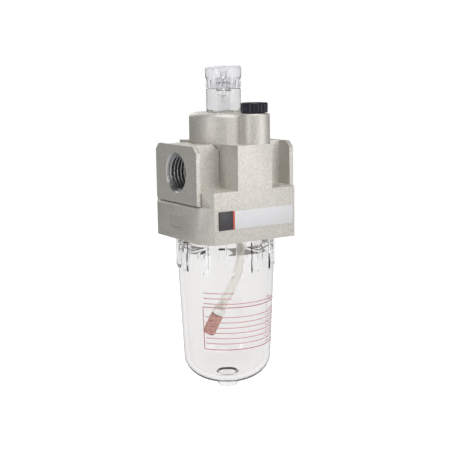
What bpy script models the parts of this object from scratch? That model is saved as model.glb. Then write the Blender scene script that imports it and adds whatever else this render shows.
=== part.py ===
"""Air-line lubricator with a clear bowl, a sight dome and two threaded ports.

Metres, +Z up.  The origin is the centre of the port axis, straight above the
bowl.  X runs along the ports, -Y is the front with the nameplate.
"""
import math

import bmesh
import bpy
from mathutils import Vector

mm = 0.001

# Clearances
GAP = 0.3 * mm              # between neighbouring solids at rest
THREAD_GAP = 0.5 * mm       # radial room of the smooth stand-ins for threads
CUT = 1.0 * mm              # how far a cutter runs past the face it opens

# Facets of round shapes
ROUND = 40
SMALL_ROUND = 24
TINY_ROUND = 16
RING_SIDES = 6

# Body casting
PORT_SPAN = 40.0 * mm       # from port face to port face
BODY_DEPTH = 39.0 * mm      # front face to back face
BODY_BOTTOM = -23.3 * mm
DECK = 9.65 * mm            # top of the flanges and columns
CORNER_X = 3.55 * mm        # corner chamfer, along the ports
CORNER_EASE = 0.15 * mm     # how far the upper chamfer stays off that corner
FLANGE_WIDTH = 28.0 * mm    # spacer flange at each port
FLANGE_THICK = 1.6 * mm
FLANGE_CHAMFER = 2.2 * mm
FLANGE_STEP = 0.1 * mm      # its back steps away below the pocket floor
POCKET_FLOOR = -5.6 * mm
COLUMN_WIDTH = 14.0 * mm    # front and back column between the pockets
CORE_DEPTH = 15.6 * mm      # port block between the pockets
CORE_BOTTOM = -7.9 * mm     # its foot, in a trough of the lower body
GROOVE_HEIGHT = -10.75 * mm
GROOVE_WIDTH = 1.8 * mm
GROOVE_DEPTH = 0.8 * mm
PAD_RADIUS = 1.7 * mm       # round pad on each pocket floor
PAD_HEIGHT = 0.35 * mm
PAD_X = 13.1 * mm
PAD_Y = 15.5 * mm
MARK_WIDTH = 8.3 * mm       # shallow window cast in the left face
MARK_HEIGHT = 4.3 * mm
MARK_DEPTH = 0.3 * mm
MARK_CENTRE_Y = 0.85 * mm
MARK_CENTRE_Z = -17.35 * mm

# Top bosses
BOSS_RADIUS = 12.35 * mm
BOSS_TOP = 20.05 * mm
BOSS_SHOULDER = 1.6 * mm
BOSS_CORBEL = 2.4 * mm
PLUG_X = 3.45 * mm
PLUG_BOSS_RADIUS = 5.35 * mm
PLUG_BOSS_INSET = 0.05 * mm  # behind the front face
PLUG_Y = -(BODY_DEPTH / 2 - PLUG_BOSS_RADIUS - PLUG_BOSS_INSET)
PLUG_BOSS_TOP = 19.95 * mm
PLUG_BOSS_EDGE = 0.4 * mm
PLUG_CORBEL = 3.6 * mm

# Ports: smooth bores at the major diameter of a G 1/4 parallel thread
PORT_RADIUS = 6.5785 * mm
PORT_DEPTH = 7.1 * mm
PORT_CHAMFER = 7.0 * mm
AIRWAY_RADIUS = 4.6 * mm

# Nameplate
PLATE_LENGTH = 30.3 * mm
PLATE_HEIGHT = 6.3 * mm
PLATE_THICK = 0.3 * mm
PLATE_GAP = 0.1 * mm
PLATE_X = 0.2 * mm
PLATE_Z = -15.25 * mm

# Bowl and its seat in the body
SOCKET_CEILING = -14.0 * mm
NECK_RADIUS = 15.4 * mm
NECK_BORE = 13.2 * mm
BOWL_TOP_DROP = 1.75 * mm   # neck top below the socket ceiling
COLLAR_RADIUS = 17.9 * mm
COLLAR_BOTTOM = -35.2 * mm
WALL_TOP_RADIUS = 17.4 * mm
WALL_FOOT_RADIUS = 15.8 * mm
WALL_FOOT = -67.8 * mm
WALL_THICK = 2.1 * mm
FLOOR_THICK = 2.6 * mm
DISH_BOTTOM = -77.0 * mm
DISH_STEPS = 7
NUB_RADIUS = 4.3 * mm
NUB_FOOT_RADIUS = 2.4 * mm
NUB_BOTTOM = -80.0 * mm
SUMP_RADIUS = 2.4 * mm
SUMP_DEPTH = 2.6 * mm
RIB_COUNT = 12
RIB_WIDTH = 3.0 * mm
RIB_PHASE = math.radians(3)
RIB_CHAMFER = 0.5 * mm
BOWL_RING_SECTION = 0.55 * mm

# Sight dome and adjusting knob
DOME_RADIUS = 6.06 * mm
DOME_BORE = 2.6 * mm
DOME_SEAT = 12.0 * mm
DOME_SHOULDER = 28.3 * mm
DOME_CROWN = 1.3 * mm
GASKET_THICK = 1.0 * mm
NECK_STEP_RADIUS = 2.6 * mm
NECK_STEP = 30.5 * mm
NECK_TIP_RADIUS = 1.9 * mm
NECK_TIP = 32.2 * mm
NEEDLE_RADIUS = 0.8 * mm
NEEDLE_TOP = 34.0 * mm
NEEDLE_POINT = 0.6 * mm
NEEDLE_RING_SECTION = 0.3 * mm
KNOB_RADIUS = 6.3 * mm
KNOB_TOP = 36.1 * mm
KNOB_EDGE = 0.8 * mm
KNOB_FLUTES = 16
KNOB_FLUTE_DEPTH = 0.3 * mm
KNOB_FLUTE_TOP = 32.5 * mm
DRIP_BORE = 1.2 * mm
NOZZLE_DISC = 0.6 * mm
NOZZLE_ROOT = 0.9 * mm
NOZZLE_TIP_RADIUS = 0.4 * mm
NOZZLE_LENGTH = 2.9 * mm
NOZZLE_BORE = 0.2 * mm

# Filler plug
PLUG_RADIUS = 4.66 * mm
PLUG_HEAD = 3.35 * mm
PLUG_EDGE = 0.35 * mm
PLUG_FLUTES = 18
PLUG_FLUTE_DEPTH = 0.35 * mm
PLUG_STEM = 2.4 * mm
PLUG_STEM_LENGTH = 7.4 * mm
PLUG_RING_SECTION = 0.5 * mm
FILL_BORE = 1.4 * mm
FILL_EXIT_X = 2.7 * mm
FILL_EXIT_Y = -11.2 * mm
FILL_KNEE = 8.0 * mm

# Damper retainer under the airway, with its flap and check valve
RETAINER_RADIUS = 7.6 * mm
RETAINER_TOP = -5.6 * mm
RETAINER_BORE_TOP = -3.0 * mm
SEAL_THICK = 1.0 * mm
FLANGE_RADIUS = 9.8 * mm
FLANGE_PLATE = 1.8 * mm
EAR_REACH = 12.2 * mm
EAR_WIDTH = 5.0 * mm
SCREW_X = 10.2 * mm
SCREW_RADIUS = 1.0 * mm
SCREW_HEAD_RADIUS = 1.7 * mm
SCREW_HEAD = 1.2 * mm
SCREW_LENGTH = 6.6 * mm
FRAME_THICK = 2.0 * mm
WINDOW_WIDTH = 4.4 * mm
WINDOW_HEIGHT = 5.6 * mm
FLAP_THICK = 0.5 * mm
FLAP_HUB = 0.45 * mm
BALL_RADIUS = 1.5 * mm
BALL_X = -4.6 * mm
BALL_LEDGE = -15.2 * mm
BALL_PORT = 0.9 * mm
SEAT_BORE = 0.7 * mm
SEAT_HEIGHT = 1.5 * mm
BALL_STROKE = 1.0 * mm

# Siphon tube, in an upright plane through the bowl axis
TUBE_AZIMUTH = math.radians(-32)
TUBE_RADIUS = 1.6 * mm
TUBE_BORE = 1.1 * mm
TUBE_OFFSET = 5.2 * mm
TUBE_STRAIGHT_END = -32.0 * mm
TUBE_BEND = ((4.2 * mm, -37.8 * mm), (1.7 * mm, -43.4 * mm), (-0.25 * mm, -47.0 * mm))
TUBE_END = (-2.1 * mm, -50.5 * mm)
TUBE_LEAN = math.radians(26)
TUBE_SIDES = 10
FITTING_COLLAR = 2.2 * mm
FITTING_COLLAR_THICK = 1.0 * mm
FITTING_SHANK = 1.2 * mm
FITTING_SHANK_LENGTH = 5.0 * mm
FITTING_PIPE = 0.7 * mm
FITTING_BARB = 0.95 * mm
BARB_COUNT = 3
BARB_PITCH = 1.6 * mm
HOLDER_RADIUS = 2.35 * mm
HOLDER_LENGTH = 2.4 * mm
SPIGOT_LENGTH = 2.4 * mm
STRAINER_RADIUS = 2.35 * mm
STRAINER_LENGTH = 7.8 * mm
STRAINER_EDGE = 0.7 * mm


def material(name, colour, roughness, metallic=0.0, transmission=0.0, ior=1.5):
    """A Principled material with one plain colour."""
    made = bpy.data.materials.new(name)
    made.use_nodes = True
    shader = made.node_tree.nodes["Principled BSDF"]
    shader.inputs["Base Color"].default_value = (*colour, 1.0)
    shader.inputs["Roughness"].default_value = roughness
    shader.inputs["Metallic"].default_value = metallic
    shader.inputs["Transmission Weight"].default_value = transmission
    shader.inputs["IOR"].default_value = ior
    made.diffuse_color = (*colour, 1.0)
    return made


def finish(name, mesh_data, look=None, location=(0, 0, 0), rotation=(0, 0, 0), parent=None):
    """Turn a bmesh into a named object, smooth where it is round."""
    bmesh.ops.recalc_face_normals(mesh_data, faces=mesh_data.faces)
    mesh = bpy.data.meshes.new(name)
    mesh_data.to_mesh(mesh)
    mesh_data.free()
    mesh.shade_smooth()
    mesh.set_sharp_from_angle(angle=math.radians(35))
    made = bpy.data.objects.new(name, mesh)
    bpy.context.scene.collection.objects.link(made)
    made.location = location
    made.rotation_euler = rotation
    made.parent = parent
    if look:
        mesh.materials.append(look)
    return made


def turned(name, outline, look=None, segments=SMALL_ROUND, flutes=None, **place):
    """Turn an outline of (radius, height) about Z.

    An outline that starts and ends on the axis is a solid, any other is closed
    into a ring.  flutes is (count, depth, lowest height, highest height).
    """
    shape = bmesh.new()
    segments = round(segments)
    turns = [2 * math.pi * step / segments for step in range(segments)]
    rings = []
    for radius, height in outline:
        if radius == 0:
            rings.append([shape.verts.new((0, 0, height))])
            continue
        ring = []
        for turn in turns:
            reach = radius
            if flutes and flutes[2] <= height <= flutes[3]:
                reach -= flutes[1] * (0.5 - 0.5 * math.cos(flutes[0] * turn))
            ring.append(shape.verts.new((reach * math.cos(turn), reach * math.sin(turn), height)))
        rings.append(ring)
    pairs = list(zip(rings, rings[1:]))
    if outline[0][0] > 0:
        pairs.append((rings[-1], rings[0]))
    for upper, lower in pairs:
        for step in range(segments):
            ahead = (step + 1) % segments
            corners = [upper[step % len(upper)], upper[ahead % len(upper)],
                       lower[ahead % len(lower)], lower[step % len(lower)]]
            shape.faces.new(dict.fromkeys(corners))
    return finish(name, shape, look, **place)


def prism(name, outline, low, high, look=None, along="Z", **place):
    """Extrude an outline of (x, y) along Z, (x, z) along Y or (y, z) along X."""
    order = {"Z": lambda a, b, c: (a, b, c), "Y": lambda a, b, c: (a, c, b),
             "X": lambda a, b, c: (c, a, b)}[along]
    shape = bmesh.new()
    floor = [shape.verts.new(order(a, b, low)) for a, b in outline]
    roof = [shape.verts.new(order(a, b, high)) for a, b in outline]
    shape.faces.new(floor)
    shape.faces.new(roof)
    count = len(outline)
    for step in range(count):
        ahead = (step + 1) % count
        shape.faces.new((floor[step], floor[ahead], roof[ahead], roof[step]))
    return finish(name, shape, look, **place)


def box(name, x_range, y_range, z_range, look=None, **place):
    """An upright box between the given limits."""
    outline = [(x_range[0], y_range[0]), (x_range[1], y_range[0]),
               (x_range[1], y_range[1]), (x_range[0], y_range[1])]
    return prism(name, outline, z_range[0], z_range[1], look, **place)


def ring(name, radius, section, height, look, segments=ROUND, **place):
    """An O-ring of round section, centred at a height."""
    turns = [2 * math.pi * step / RING_SIDES for step in range(RING_SIDES)]
    outline = [(radius + section * math.cos(turn), height + section * math.sin(turn))
               for turn in turns]
    return turned(name, outline, look, segments, **place)


def combine(target, tool, operation):
    """Join or cut with a Boolean and keep the tool out of the model."""
    step = target.modifiers.new(tool.name, "BOOLEAN")
    step.object = tool
    step.operation = operation
    step.solver = "EXACT"
    tool.hide_render = True
    tool.display_type = "WIRE"


def empty(name, location=(0, 0, 0), rotation=(0, 0, 0)):
    made = bpy.data.objects.new(name, None)
    bpy.context.scene.collection.objects.link(made)
    made.location = location
    made.rotation_euler = rotation
    return made


def side_name(side):
    return "left" if side < 0 else "right"


def mirrored_signs():
    """Every left or right and front or back corner."""
    return [(side, face) for side in (-1, 1) for face in (-1, 1)]


def body_plan():
    """Outline of the body seen from above, with its four corner chamfers."""
    half_x = PORT_SPAN / 2
    half_y = BODY_DEPTH / 2
    flange_y = FLANGE_WIDTH / 2
    corner = half_x - CORNER_X
    return [(half_x, -flange_y), (half_x, flange_y), (corner, half_y), (-corner, half_y),
            (-half_x, flange_y), (-half_x, -flange_y), (-corner, -half_y), (corner, -half_y)]


def cut_groove(target, side):
    """The V-groove across a port side, where the port block meets the body."""
    half_x = PORT_SPAN / 2
    reach = (GROOVE_DEPTH + CUT) / GROOVE_DEPTH * GROOVE_WIDTH / 2
    groove = [((half_x - GROOVE_DEPTH) * side, GROOVE_HEIGHT),
              ((half_x + CUT) * side, GROOVE_HEIGHT + reach),
              ((half_x + CUT) * side, GROOVE_HEIGHT - reach)]
    tool = prism(f"cut_groove_{target.name}_{side_name(side)}", groove, -BODY_DEPTH / 2,
                 BODY_DEPTH / 2, along="Y")
    combine(target, tool, "DIFFERENCE")


def cut_from_below(target):
    """The bowl's socket and, above it, the bore for the damper retainer."""
    socket_radius = NECK_RADIUS + THREAD_GAP
    bore_radius = RETAINER_RADIUS + GAP
    combine(target, turned(f"cut_socket_{target.name}", [
        (0, RETAINER_BORE_TOP), (bore_radius, RETAINER_BORE_TOP), (bore_radius, SOCKET_CEILING),
        (socket_radius, SOCKET_CEILING), (socket_radius, BODY_BOTTOM - CUT), (0, BODY_BOTTOM - CUT)],
        segments=ROUND), "DIFFERENCE")


def port_block(side, look):
    """A port of the casting with its airway and spacer flange.

    It parts from the body along the pocket corners; its inner end lies in a
    tunnel through the column, as far as the damper retainer's frame.
    """
    half_x = PORT_SPAN / 2
    flange_y = FLANGE_WIDTH / 2
    flange_start = half_x - FLANGE_THICK
    flange_foot = GROOVE_HEIGHT + GAP / 2
    flange = [(-flange_y, flange_foot), (flange_y, flange_foot),
              (flange_y, DECK - FLANGE_CHAMFER), (flange_y - FLANGE_CHAMFER, DECK),
              (FLANGE_CHAMFER - flange_y, DECK), (-flange_y, DECK - FLANGE_CHAMFER)]
    block = prism(f"port_block_{side_name(side)}", flange, *sorted((flange_start * side, half_x * side)),
                  look, along="X")
    combine(block, box(f"cut_flange_back_{side_name(side)}",
                       sorted(((flange_start - CUT) * side, (flange_start + FLANGE_STEP) * side)),
                       (-flange_y - CUT, flange_y + CUT), (flange_foot - CUT, POCKET_FLOOR + GAP)),
            "DIFFERENCE")
    seat = DECK - BOSS_CORBEL - GAP
    frame_face = FRAME_THICK / 2 + GAP / 2
    for label, start, foot, top in (("neck", COLUMN_WIDTH / 2 + GAP, CORE_BOTTOM, DECK),
                                    ("core", frame_face + GAP, RETAINER_BORE_TOP, seat - GAP)):
        combine(block, box(f"{label}_{side_name(side)}",
                           sorted((start * side, (flange_start + FLANGE_THICK / 2) * side)),
                           (-CORE_DEPTH / 2, CORE_DEPTH / 2), (foot, top)), "UNION")
    slant_gap = GAP * math.sqrt(2)
    combine(block, turned(f"cut_boss_seat_{side_name(side)}", [
        (0, DECK + CUT), (BOSS_RADIUS + slant_gap + CUT, DECK + CUT),
        (BOSS_RADIUS + slant_gap - BOSS_CORBEL - GAP, seat), (0, seat)],
        segments=ROUND), "DIFFERENCE")
    cut_groove(block, side)
    cut_from_below(block)
    combine(block, turned(f"cut_port_{side_name(side)}", port_outline(half_x), segments=28,
                          rotation=(0, math.pi / 2, 0)), "DIFFERENCE")
    return block


def body_casting(look):
    """The die-cast body: lower block, columns, bosses, sockets and oil passages."""
    half_x = PORT_SPAN / 2
    half_y = BODY_DEPTH / 2
    flange_y = FLANGE_WIDTH / 2
    column_x = COLUMN_WIDTH / 2
    recess = half_x - FLANGE_THICK - GAP
    corner = half_x - CORNER_X
    body = prism("body_casting", body_plan(), BODY_BOTTOM, DECK, look)

    for side in (-1, 1):
        label = side_name(side)
        beyond = (half_x + CUT) * side
        combine(body, box(f"cut_side_{label}", sorted((column_x * side, beyond)),
                          (-half_y - CUT, half_y + CUT), (POCKET_FLOOR, DECK + CUT)), "DIFFERENCE")
        combine(body, box(f"cut_trough_{label}", sorted((column_x * side, beyond)),
                          (-CORE_DEPTH / 2 - GAP, CORE_DEPTH / 2 + GAP),
                          (CORE_BOTTOM - GAP, POCKET_FLOOR + CUT)), "DIFFERENCE")
        combine(body, box(f"cut_recess_{label}", sorted((recess * side, beyond)),
                          (-flange_y - CUT, flange_y + CUT),
                          (GROOVE_HEIGHT - GAP / 2, POCKET_FLOOR + CUT)), "DIFFERENCE")
        cut_groove(body, side)
    for side, face in mirrored_signs():
        label = f"{side_name(side)}_{'front' if face < 0 else 'back'}"
        wedge = [(recess * side, flange_y * face), ((half_x + CUT) * side, flange_y * face),
                 ((corner + CORNER_EASE) * side, half_y * face)]
        combine(body, prism(f"cut_corner_{label}", wedge, GROOVE_HEIGHT, POCKET_FLOOR + CUT),
                "DIFFERENCE")
        pad_top = POCKET_FLOOR + PAD_HEIGHT
        combine(body, turned(f"pad_{label}", [
            (0, pad_top), (PAD_RADIUS, pad_top), (PAD_RADIUS, POCKET_FLOOR - CUT), (0, POCKET_FLOOR - CUT)],
            segments=TINY_ROUND, location=(PAD_X * side, PAD_Y * face, 0)), "UNION")

    combine(body, turned("main_boss", [
        (0, BOSS_TOP), (BOSS_RADIUS - BOSS_SHOULDER, BOSS_TOP),
        (BOSS_RADIUS - BOSS_SHOULDER * 0.45, BOSS_TOP - BOSS_SHOULDER * 0.16),
        (BOSS_RADIUS - BOSS_SHOULDER * 0.1, BOSS_TOP - BOSS_SHOULDER * 0.55),
        (BOSS_RADIUS, BOSS_TOP - BOSS_SHOULDER), (BOSS_RADIUS, DECK),
        (BOSS_RADIUS - BOSS_CORBEL, DECK - BOSS_CORBEL), (0, DECK - BOSS_CORBEL)],
        segments=ROUND), "UNION")
    combine(body, turned("plug_boss", [
        (0, PLUG_BOSS_TOP), (PLUG_BOSS_RADIUS - PLUG_BOSS_EDGE, PLUG_BOSS_TOP),
        (PLUG_BOSS_RADIUS, PLUG_BOSS_TOP - PLUG_BOSS_EDGE), (PLUG_BOSS_RADIUS, DECK),
        (PLUG_BOSS_RADIUS - PLUG_CORBEL, DECK - PLUG_CORBEL), (0, DECK - PLUG_CORBEL)],
        segments=ROUND, location=(PLUG_X, PLUG_Y, 0)), "UNION")

    combine(body, box("cut_tunnel", (-column_x - CUT, column_x + CUT),
                      (-CORE_DEPTH / 2 - GAP, CORE_DEPTH / 2 + GAP),
                      (RETAINER_BORE_TOP - GAP, DECK - BOSS_CORBEL - GAP)), "DIFFERENCE")
    cut_from_below(body)
    combine(body, turned("cut_dome_socket", [
        (0, BOSS_TOP + CUT), (DOME_RADIUS + GAP, BOSS_TOP + CUT), (DOME_RADIUS + GAP, DOME_SEAT),
        (DRIP_BORE, DOME_SEAT), (DRIP_BORE, AIRWAY_RADIUS - CUT), (0, AIRWAY_RADIUS - CUT)],
        segments=32), "DIFFERENCE")
    stem_bore = PLUG_STEM + GAP
    gland_radius = stem_bore + GAP + 2 * PLUG_RING_SECTION
    stem_bottom = PLUG_BOSS_TOP + GAP - PLUG_STEM_LENGTH - GAP
    combine(body, turned("cut_plug_bore", [
        (0, PLUG_BOSS_TOP + CUT), (gland_radius, PLUG_BOSS_TOP + CUT),
        (gland_radius, plug_gland_floor()), (stem_bore, plug_gland_floor()),
        (stem_bore, stem_bottom), (FILL_BORE, stem_bottom - CUT), (FILL_BORE, FILL_KNEE),
        (0, FILL_KNEE - FILL_BORE)], location=(PLUG_X, PLUG_Y, 0)), "DIFFERENCE")
    knee = Vector((PLUG_X, PLUG_Y, FILL_KNEE))
    exit_point = Vector((FILL_EXIT_X, FILL_EXIT_Y, SOCKET_CEILING))
    way = exit_point - knee
    passage = turned("cut_fill_passage", [(0, 0), (FILL_BORE, 0), (FILL_BORE, way.length + CUT),
                                          (0, way.length + CUT)], segments=TINY_ROUND, location=knee)
    passage.rotation_euler = way.to_track_quat("Z", "Y").to_euler()
    combine(body, passage, "DIFFERENCE")
    for side in (-1, 1):
        hole = turned(f"cut_screw_{side_name(side)}", [
            (0, screw_tip() + GAP), (SCREW_RADIUS + GAP, screw_tip() + GAP),
            (SCREW_RADIUS + GAP, SOCKET_CEILING - CUT), (0, SOCKET_CEILING - CUT)],
            segments=TINY_ROUND, location=(SCREW_X * side, 0, 0))
        combine(body, hole, "DIFFERENCE")
    combine(body, box("cut_mark", (-half_x - CUT, -half_x + MARK_DEPTH),
                      (MARK_CENTRE_Y - MARK_WIDTH / 2, MARK_CENTRE_Y + MARK_WIDTH / 2),
                      (MARK_CENTRE_Z - MARK_HEIGHT / 2, MARK_CENTRE_Z + MARK_HEIGHT / 2)),
            "DIFFERENCE")
    return body


def port_outline(face):
    """Both port bores and the airway between them, as one outline about X."""
    half = [(PORT_CHAMFER, face + CUT), (PORT_CHAMFER, face),
            (PORT_RADIUS, face - (PORT_CHAMFER - PORT_RADIUS)), (PORT_RADIUS, face - PORT_DEPTH),
            (AIRWAY_RADIUS, face - PORT_DEPTH - (PORT_RADIUS - AIRWAY_RADIUS))]
    far_half = [(radius, -height) for radius, height in reversed(half)]
    return [(0, face + CUT)] + half + far_half + [(0, -face - CUT)]


def plug_gland_floor():
    """Height of the ledge that the filler plug's O-ring lies over."""
    return PLUG_BOSS_TOP - 2 * PLUG_RING_SECTION - 2 * GAP


def seal_bottom():
    return SOCKET_CEILING - GAP - SEAL_THICK


def flange_bottom():
    """Underside of the retainer's flange."""
    return seal_bottom() - GAP - FLANGE_PLATE


def screw_tip():
    return flange_bottom() - GAP + SCREW_LENGTH


def nameplate(look):
    front = -BODY_DEPTH / 2 - PLATE_GAP
    return box("nameplate", (PLATE_X - PLATE_LENGTH / 2, PLATE_X + PLATE_LENGTH / 2),
               (front - PLATE_THICK, front),
               (PLATE_Z - PLATE_HEIGHT / 2, PLATE_Z + PLATE_HEIGHT / 2), look)


def dish(radius, height, bottom, inner_radius):
    """A quarter ellipse from the wall down to the flat middle of the floor."""
    points = []
    for step in range(1, DISH_STEPS + 1):
        turn = math.pi / 2 * step / DISH_STEPS
        points.append((inner_radius + (radius - inner_radius) * math.cos(turn),
                       height + (bottom - height) * math.sin(turn)))
    return points


def bowl(look):
    """The clear bowl: neck, ribbed collar, tapered wall, dished floor and nub."""
    top = SOCKET_CEILING - BOWL_TOP_DROP
    collar_top = BODY_BOTTOM - GAP
    wall_bore = WALL_TOP_RADIUS - WALL_THICK
    foot_bore = WALL_FOOT_RADIUS - WALL_THICK
    floor = DISH_BOTTOM + FLOOR_THICK
    nub_side = (NUB_RADIUS - NUB_FOOT_RADIUS) * 0.3
    inner = [(0, floor - SUMP_DEPTH), (SUMP_RADIUS, floor - SUMP_DEPTH), (SUMP_RADIUS, floor)]
    inner += list(reversed(dish(foot_bore, WALL_FOOT, floor, NUB_RADIUS)))
    inner += [(foot_bore, WALL_FOOT), (wall_bore, COLLAR_BOTTOM), (NECK_BORE, collar_top - WALL_THICK),
              (NECK_BORE, top)]
    outer = [(NECK_RADIUS - THREAD_GAP, top), (NECK_RADIUS, top - THREAD_GAP), (NECK_RADIUS, collar_top),
             (WALL_TOP_RADIUS, collar_top), (WALL_TOP_RADIUS, COLLAR_BOTTOM),
             (WALL_FOOT_RADIUS, WALL_FOOT)]
    outer += dish(WALL_FOOT_RADIUS, WALL_FOOT, DISH_BOTTOM, NUB_RADIUS)
    outer += [(NUB_RADIUS - nub_side, (DISH_BOTTOM + NUB_BOTTOM) / 2),
              (NUB_FOOT_RADIUS + nub_side, NUB_BOTTOM + nub_side * 0.6),
              (NUB_FOOT_RADIUS, NUB_BOTTOM), (0, NUB_BOTTOM)]
    made = turned("bowl", inner + outer, look, ROUND)
    combine(made, bowl_ribs(collar_top), "UNION")
    return made


def bowl_ribs(top):
    """The grip ribs of the collar, each with sloped ends."""
    shape = bmesh.new()
    root = WALL_TOP_RADIUS - WALL_THICK / 2
    reach = COLLAR_RADIUS - RIB_CHAMFER
    side_view = [(root, top - GAP), (reach, top - GAP), (COLLAR_RADIUS, top - GAP - RIB_CHAMFER),
                 (COLLAR_RADIUS, COLLAR_BOTTOM + 2 * RIB_CHAMFER), (reach, COLLAR_BOTTOM),
                 (root, COLLAR_BOTTOM)]
    for index in range(RIB_COUNT):
        turn = RIB_PHASE + 2 * math.pi * index / RIB_COUNT
        out = Vector((math.cos(turn), math.sin(turn), 0))
        across = Vector((-math.sin(turn), math.cos(turn), 0)) * RIB_WIDTH / 2
        sides = []
        for sign in (-1, 1):
            sides.append([shape.verts.new(out * radius + across * sign + Vector((0, 0, height)))
                          for radius, height in side_view])
            shape.faces.new(sides[-1])
        count = len(side_view)
        for step in range(count):
            ahead = (step + 1) % count
            shape.faces.new((sides[0][step], sides[0][ahead], sides[1][ahead], sides[1][step]))
    return finish("bowl_ribs", shape)


def bowl_ring(look):
    top = SOCKET_CEILING - BOWL_TOP_DROP
    radius = (NECK_BORE + NECK_RADIUS) / 2
    return ring("bowl_o_ring", radius, BOWL_RING_SECTION, top + GAP + BOWL_RING_SECTION, look)


def sight_dome(look):
    """The clear drip chamber, with the neck that the knob turns on."""
    bottom = DOME_SEAT + 2 * GAP + GASKET_THICK
    ceiling = DOME_SHOULDER - GAP
    return turned("sight_dome", [
        (DOME_BORE, bottom), (DOME_BORE, ceiling - DOME_BORE * 0.4), (DOME_BORE * 0.6, ceiling),
        (NEEDLE_RADIUS + GAP, ceiling), (NEEDLE_RADIUS + GAP, NECK_TIP),
        (NECK_TIP_RADIUS, NECK_TIP), (NECK_TIP_RADIUS, NECK_STEP), (NECK_STEP_RADIUS, NECK_STEP),
        (NECK_STEP_RADIUS, DOME_SHOULDER), (DOME_RADIUS - GAP, DOME_SHOULDER),
        (DOME_RADIUS, DOME_SHOULDER - GAP), (DOME_RADIUS, bottom)], look, 32)


def dome_gasket(look):
    low = DOME_SEAT + GAP
    return turned("dome_gasket", [
        (DOME_BORE + GAP, low + GASKET_THICK), (DOME_RADIUS - GAP, low + GASKET_THICK),
        (DOME_RADIUS - GAP, low), (DOME_BORE + GAP, low)], look)


def drip_nozzle(look):
    """The spout that lets the drops fall inside the dome."""
    top = DOME_SHOULDER - GAP - DOME_BORE * 0.4 - GAP
    return turned("drip_nozzle", [
        (NOZZLE_BORE, top), (DOME_BORE - GAP, top), (DOME_BORE - GAP, top - NOZZLE_DISC),
        (NOZZLE_ROOT, top - NOZZLE_DISC), (NOZZLE_TIP_RADIUS, top - NOZZLE_DISC - NOZZLE_LENGTH),
        (NOZZLE_BORE, top - NOZZLE_DISC - NOZZLE_LENGTH)], look, TINY_ROUND)


def needle_ring(look):
    radius = NECK_TIP_RADIUS + GAP / 2 + NEEDLE_RING_SECTION
    return ring("needle_o_ring", radius, NEEDLE_RING_SECTION,
                NECK_STEP + GAP / 2 + NEEDLE_RING_SECTION, look, SMALL_ROUND)


def needle_valve(look):
    point = DOME_SHOULDER + NEEDLE_POINT - GAP
    return turned("needle_valve", [
        (0, NEEDLE_TOP), (NEEDLE_RADIUS, NEEDLE_TOP), (NEEDLE_RADIUS, point),
        (NEEDLE_RADIUS * 0.25, point - NEEDLE_POINT), (0, point - NEEDLE_POINT)], look, TINY_ROUND)


def adjusting_knob(look):
    """The clear fluted knob that turns the needle."""
    bottom = DOME_SHOULDER + GAP
    cavity = NECK_STEP_RADIUS + GAP
    ceiling = NECK_TIP + GAP
    return turned("adjusting_knob", [
        (0, NEEDLE_TOP + GAP), (NEEDLE_RADIUS + GAP / 2, NEEDLE_TOP + GAP),
        (NEEDLE_RADIUS + GAP / 2, ceiling), (cavity, ceiling), (cavity, bottom),
        (KNOB_RADIUS - GAP, bottom), (KNOB_RADIUS, bottom + GAP), (KNOB_RADIUS, KNOB_FLUTE_TOP),
        (KNOB_RADIUS, KNOB_TOP - KNOB_EDGE), (KNOB_RADIUS - KNOB_EDGE, KNOB_TOP), (0, KNOB_TOP)],
        look, 4 * KNOB_FLUTES,
        (KNOB_FLUTES, KNOB_FLUTE_DEPTH, bottom + GAP / 2, KNOB_FLUTE_TOP))


def filler_plug(look):
    """The black fluted plug; its head covers the fill bore."""
    low = PLUG_BOSS_TOP + GAP
    top = low + PLUG_HEAD
    place = (PLUG_X, PLUG_Y, 0)
    plug = turned("filler_plug", [
        (0, top), (PLUG_RADIUS - PLUG_EDGE, top), (PLUG_RADIUS, top - PLUG_EDGE),
        (PLUG_RADIUS, low), (0, low)], look, 4 * PLUG_FLUTES,
        (PLUG_FLUTES, PLUG_FLUTE_DEPTH, low - GAP, top - PLUG_EDGE / 2), location=place)
    stem = turned("plug_stem", [
        (0, low + CUT), (PLUG_STEM, low + CUT), (PLUG_STEM, low - PLUG_STEM_LENGTH + PLUG_EDGE),
        (PLUG_STEM - PLUG_EDGE, low - PLUG_STEM_LENGTH), (0, low - PLUG_STEM_LENGTH)],
        location=place)
    combine(plug, stem, "UNION")
    return plug


def plug_ring(look):
    radius = PLUG_STEM + GAP + PLUG_RING_SECTION + GAP / 2
    height = plug_gland_floor() + GAP + PLUG_RING_SECTION
    return ring("filler_plug_o_ring", radius, PLUG_RING_SECTION, height, look, SMALL_ROUND,
                location=(PLUG_X, PLUG_Y, 0))


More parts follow.
